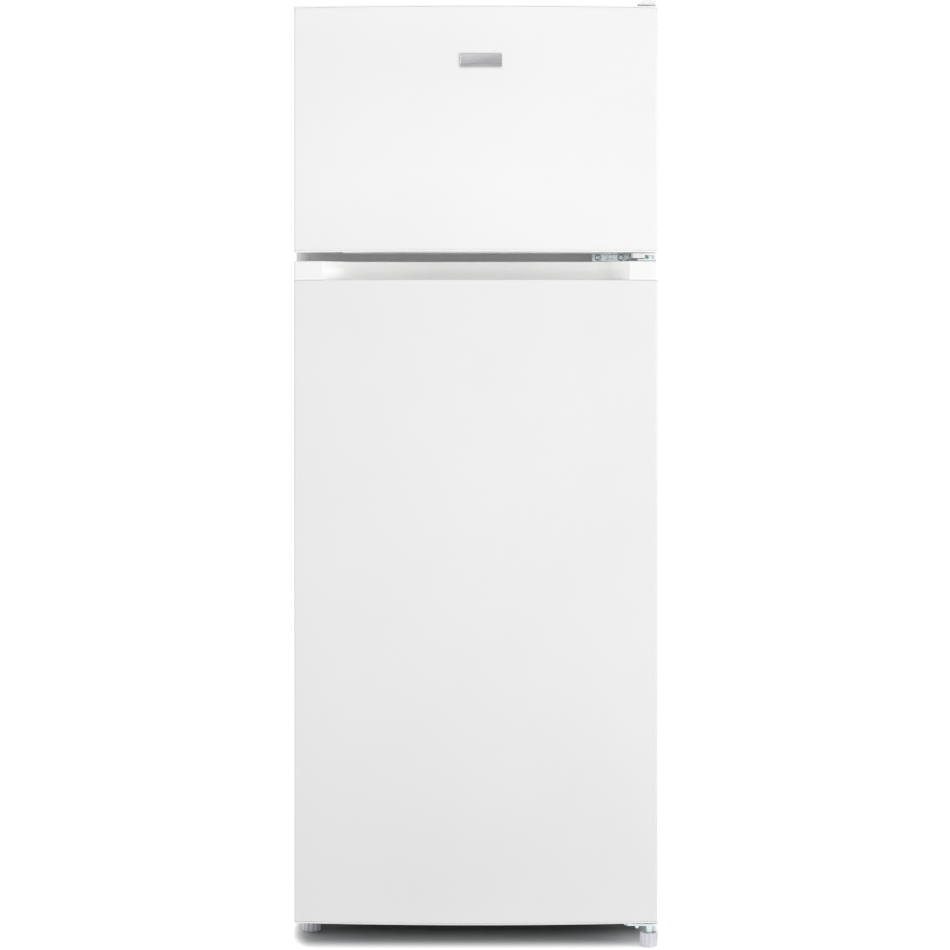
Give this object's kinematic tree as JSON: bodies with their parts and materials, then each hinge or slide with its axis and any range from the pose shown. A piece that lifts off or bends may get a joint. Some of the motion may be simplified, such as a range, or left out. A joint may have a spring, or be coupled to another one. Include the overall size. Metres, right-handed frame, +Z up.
{
  "type": "top freezer refrigerator",
  "caption": "White upright refrigerator with a freezer above a larger fresh-food compartment, bowed hinged doors and a finger recess along the top of the lower door.",
  "frame": {"origin": "middle of the footprint at floor level, under the feet", "axes": "+Z up, -Y towards whoever stands in front of the doors, +X towards the hinges"},
  "size_m": [0.548, 0.5569, 1.43],
  "materials": {
    "white_steel": "smooth satin white coat on steel sheet",
    "white_plastic": "white moulded plastic",
    "liner_plastic": "smooth white vacuum-formed plastic",
    "grey_plastic": "light grey moulded plastic",
    "foot_plastic": "off-white moulded plastic",
    "clear_plastic": "clear moulded plastic",
    "shelf_glass": "clear toughened glass with a green tint at the edge",
    "wire": "white plastic-coated steel wire",
    "zinc": "zinc plated, faintly blue",
    "galvanised": "galvanised steel sheet",
    "foam": "pale yellow rigid foam",
    "gasket": "soft pale grey vinyl",
    "black_rubber": "black moulded rubber",
    "black_steel": "black baked enamel",
    "copper": "drawn copper",
    "aluminium": "rolled aluminium",
    "badge": "brushed silver, blank"
  },
  "bodies": {
    "cabinet": {"cabinet_wrap": "white_steel", "rear_panel": "galvanised", "base_pan": "galvanised", "mullion_bar": "white_steel", "cabinet_insulation": "foam", "freezer_liner": "liner_plastic", "fridge_liner": "liner_plastic", "freezer_evaporator": "aluminium", "fridge_evaporator": "aluminium", "condenser_coil": "black_steel", "compressor_tray": "galvanised", "compressor": "black_steel", "evaporating_pan": "white_plastic", "filter_drier": "copper", "suction_pipe": "copper", "drain_tube": "white_plastic", "mains_inlet_gland": "black_rubber", "top_hinge_bracket": "zinc", "top_hinge_pin": "zinc", "top_hinge_cover": "white_plastic", "middle_hinge_bracket": "zinc", "middle_hinge_pin": "zinc", "middle_hinge_screw_left": "zinc", "middle_hinge_screw_right": "zinc", "bottom_hinge_bracket": "zinc", "bottom_hinge_pin": "zinc", "bottom_hinge_screw": "zinc", "control_box": "white_plastic", "lamp_lens": "clear_plastic", "glass_shelf_upper": "shelf_glass", "glass_shelf_middle": "shelf_glass", "crisper_cover_shelf": "shelf_glass", "freezer_shelf": "wire"},
    "freezer_door": {"freezer_door_skin": "white_steel", "freezer_door_top_cap": "white_plastic", "freezer_door_bottom_cap": "white_plastic", "freezer_door_insulation": "foam", "freezer_door_liner": "liner_plastic", "freezer_door_gasket": "gasket", "freezer_door_hinge_bush": "white_plastic", "freezer_door_badge": "badge"},
    "fridge_door": {"fridge_door_skin": "white_steel", "fridge_door_top_cap": "white_plastic", "fridge_door_bottom_cap": "white_plastic", "fridge_door_insulation": "foam", "fridge_door_liner": "liner_plastic", "fridge_door_gasket": "gasket"},
    "freezer_bin": {"freezer_door_bin": "clear_plastic"},
    "upper_bin": {"door_bin_upper": "clear_plastic"},
    "middle_bin": {"door_bin_middle": "clear_plastic"},
    "bottle_bin": {"door_bin_bottle": "clear_plastic"},
    "eggs": {"egg_tray": "white_plastic"},
    "crisper": {"crisper_drawer": "clear_plastic"},
    "knob": {"thermostat_knob": "grey_plastic"},
    "light_switch": {"light_switch_button": "white_plastic"},
    "foot_left": {"levelling_foot_left": "foot_plastic"},
    "foot_right": {"levelling_foot_right": "foot_plastic"},
    "roller_left": {"rear_roller_left": "black_rubber"},
    "roller_right": {"rear_roller_right": "black_rubber"},
    "ice": {"ice_tray": "grey_plastic"}
  },
  "joints": [
    {"name": "freezer_door_hinge", "type": "hinge", "parent": "cabinet", "child": "freezer_door", "pos_m": [0.261, -0.235, 1.2], "axis": [0, 0, 1], "range_deg": [0, 130]},
    {"name": "fridge_door_hinge", "type": "hinge", "parent": "cabinet", "child": "fridge_door", "pos_m": [0.261, -0.235, 0.5], "axis": [0, 0, 1], "range_deg": [0, 130]},
    {"name": "crisper_slide", "type": "slide", "parent": "cabinet", "child": "crisper", "axis": [0, -1, 0], "range_m": [0, 0.18]},
    {"name": "light_switch_travel", "type": "slide", "parent": "cabinet", "child": "light_switch", "axis": [0, -1, 0], "range_m": [0, 0.004]},
    {"name": "thermostat_turn", "type": "hinge", "parent": "cabinet", "child": "knob", "pos_m": [0.05, -0.158, 0.985], "axis": [0, -1, 0], "range_deg": [0, 280]},
    {"name": "upper_bin_lift", "type": "slide", "parent": "fridge_door", "child": "upper_bin", "axis": [0, 0, 1], "range_m": [0, 0.028]},
    {"name": "middle_bin_lift", "type": "slide", "parent": "fridge_door", "child": "middle_bin", "axis": [0, 0, 1], "range_m": [0, 0.028]},
    {"name": "bottle_bin_lift", "type": "slide", "parent": "fridge_door", "child": "bottle_bin", "axis": [0, 0, 1], "range_m": [0, 0.028]},
    {"name": "freezer_bin_lift", "type": "slide", "parent": "freezer_door", "child": "freezer_bin", "axis": [0, 0, 1], "range_m": [0, 0.02]},
    {"name": "egg_tray_lift", "type": "slide", "parent": "upper_bin", "child": "eggs", "axis": [0, 0, 1], "range_m": [0, 0.05]},
    {"name": "ice_tray_lift", "type": "slide", "parent": "cabinet", "child": "ice", "axis": [0, 0, 1], "range_m": [0, 0.03]},
    {"name": "left_foot_screw", "type": "slide", "parent": "cabinet", "child": "foot_left", "axis": [0, 0, -1], "range_m": [0, 0.012]},
    {"name": "right_foot_screw", "type": "slide", "parent": "cabinet", "child": "foot_right", "axis": [0, 0, -1], "range_m": [0, 0.012]},
    {"name": "left_roller_spin", "type": "hinge", "parent": "cabinet", "child": "roller_left", "pos_m": [-0.236, 0.216, 0.018], "axis": [1, 0, 0], "continuous": true},
    {"name": "right_roller_spin", "type": "hinge", "parent": "cabinet", "child": "roller_right", "pos_m": [0.236, 0.216, 0.018], "axis": [1, 0, 0], "continuous": true}
  ],
  "couplings": [
    {"joint": "crisper_slide", "follows": "fridge_door_hinge", "m_per_rad": 0.0793},
    {"joint": "light_switch_travel", "follows": "fridge_door_hinge", "m_per_rad": 0.00176}
  ]
}
